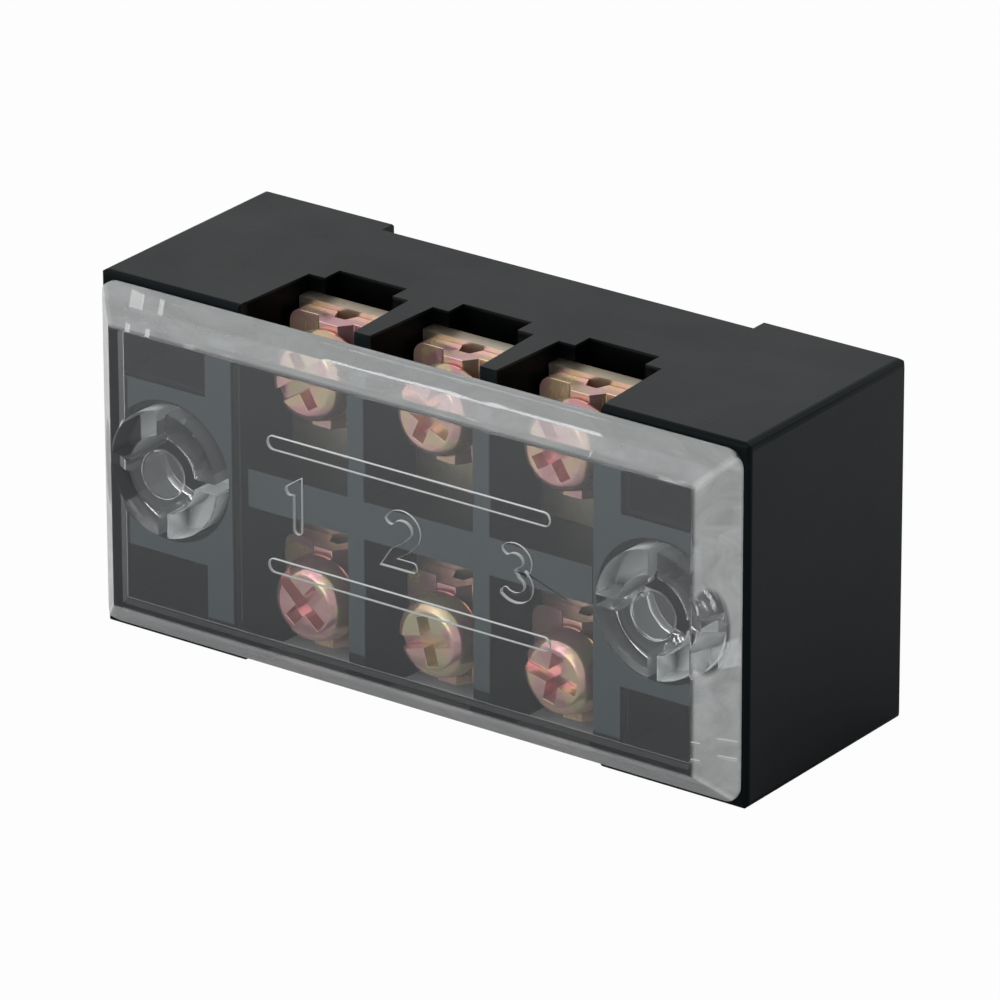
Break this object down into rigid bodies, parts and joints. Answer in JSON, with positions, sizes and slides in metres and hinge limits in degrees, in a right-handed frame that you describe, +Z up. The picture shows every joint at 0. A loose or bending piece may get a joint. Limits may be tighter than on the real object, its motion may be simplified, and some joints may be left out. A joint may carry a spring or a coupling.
{
  "type": "barrier terminal strip",
  "caption": "Double-row barrier terminal strip with screw clamps, wire windows in both long sides and a clear clip-on cover.",
  "frame": {"origin": "below the middle of the closed strip, at the height of the long side that it stands on", "axes": "+X along the strip, -Y is the side of the cover and the screw heads, +Y the side of the mounting feet, +Z up across the two rows"},
  "size_m": [0.045, 0.0176, 0.022],
  "materials": {
    "housing_plastic": "satin black moulded plastic",
    "cover_plastic": "clear polycarbonate",
    "bar_plating": "dull plated brass",
    "clamp_plating": "yellow-pink passivated zinc",
    "screw_plating": "yellow passivated zinc"
  },
  "bodies": {
    "root": {"housing": "housing_plastic", "conductor_bar_1": "bar_plating", "conductor_bar_2": "bar_plating", "conductor_bar_3": "bar_plating"},
    "cover": {"clear_cover": "cover_plastic"},
    "clamp_upper_1": {"clamp_plate_upper_1": "clamp_plating"},
    "screw_upper_1": {"terminal_screw_upper_1": "screw_plating"},
    "clamp_upper_2": {"clamp_plate_upper_2": "clamp_plating"},
    "screw_upper_2": {"terminal_screw_upper_2": "screw_plating"},
    "clamp_upper_3": {"clamp_plate_upper_3": "clamp_plating"},
    "screw_upper_3": {"terminal_screw_upper_3": "screw_plating"},
    "clamp_lower_1": {"clamp_plate_lower_1": "clamp_plating"},
    "screw_lower_1": {"terminal_screw_lower_1": "screw_plating"},
    "clamp_lower_2": {"clamp_plate_lower_2": "clamp_plating"},
    "screw_lower_2": {"terminal_screw_lower_2": "screw_plating"},
    "clamp_lower_3": {"clamp_plate_lower_3": "clamp_plating"},
    "screw_lower_3": {"terminal_screw_lower_3": "screw_plating"}
  },
  "joints": [
    {"name": "cover_pull", "type": "slide", "parent": "root", "child": "cover", "axis": [0, -1, 0], "range_m": [0, 0.012]},
    {"name": "clamp_upper_1_lift", "type": "slide", "parent": "root", "child": "clamp_upper_1", "axis": [0, -1, 0], "range_m": [0, 0.00175]},
    {"name": "screw_upper_1_turn", "type": "hinge", "parent": "clamp_upper_1", "child": "screw_upper_1", "pos_m": [-0.00875, 0, 0.0178], "axis": [0, -1, 0], "range_deg": [0, 1261]},
    {"name": "clamp_upper_2_lift", "type": "slide", "parent": "root", "child": "clamp_upper_2", "axis": [0, -1, 0], "range_m": [0, 0.00175]},
    {"name": "screw_upper_2_turn", "type": "hinge", "parent": "clamp_upper_2", "child": "screw_upper_2", "pos_m": [0, 0, 0.0178], "axis": [0, -1, 0], "range_deg": [0, 1261]},
    {"name": "clamp_upper_3_lift", "type": "slide", "parent": "root", "child": "clamp_upper_3", "axis": [0, -1, 0], "range_m": [0, 0.00175]},
    {"name": "screw_upper_3_turn", "type": "hinge", "parent": "clamp_upper_3", "child": "screw_upper_3", "pos_m": [0.00875, 0, 0.0178], "axis": [0, -1, 0], "range_deg": [0, 1261]},
    {"name": "clamp_lower_1_lift", "type": "slide", "parent": "root", "child": "clamp_lower_1", "axis": [0, -1, 0], "range_m": [0, 0.00175]},
    {"name": "screw_lower_1_turn", "type": "hinge", "parent": "clamp_lower_1", "child": "screw_lower_1", "pos_m": [-0.00875, 0, 0.0042], "axis": [0, -1, 0], "range_deg": [0, 1261]},
    {"name": "clamp_lower_2_lift", "type": "slide", "parent": "root", "child": "clamp_lower_2", "axis": [0, -1, 0], "range_m": [0, 0.00175]},
    {"name": "screw_lower_2_turn", "type": "hinge", "parent": "clamp_lower_2", "child": "screw_lower_2", "pos_m": [0, 0, 0.0042], "axis": [0, -1, 0], "range_deg": [0, 1261]},
    {"name": "clamp_lower_3_lift", "type": "slide", "parent": "root", "child": "clamp_lower_3", "axis": [0, -1, 0], "range_m": [0, 0.00175]},
    {"name": "screw_lower_3_turn", "type": "hinge", "parent": "clamp_lower_3", "child": "screw_lower_3", "pos_m": [0.00875, 0, 0.0042], "axis": [0, -1, 0], "range_deg": [0, 1261]}
  ],
  "couplings": [
    {"joint": "screw_upper_1_turn", "follows": "clamp_upper_1_lift", "rad_per_m": 12566},
    {"joint": "screw_upper_2_turn", "follows": "clamp_upper_2_lift", "rad_per_m": 12566},
    {"joint": "screw_upper_3_turn", "follows": "clamp_upper_3_lift", "rad_per_m": 12566},
    {"joint": "screw_lower_1_turn", "follows": "clamp_lower_1_lift", "rad_per_m": 12566},
    {"joint": "screw_lower_2_turn", "follows": "clamp_lower_2_lift", "rad_per_m": 12566},
    {"joint": "screw_lower_3_turn", "follows": "clamp_lower_3_lift", "rad_per_m": 12566}
  ]
}
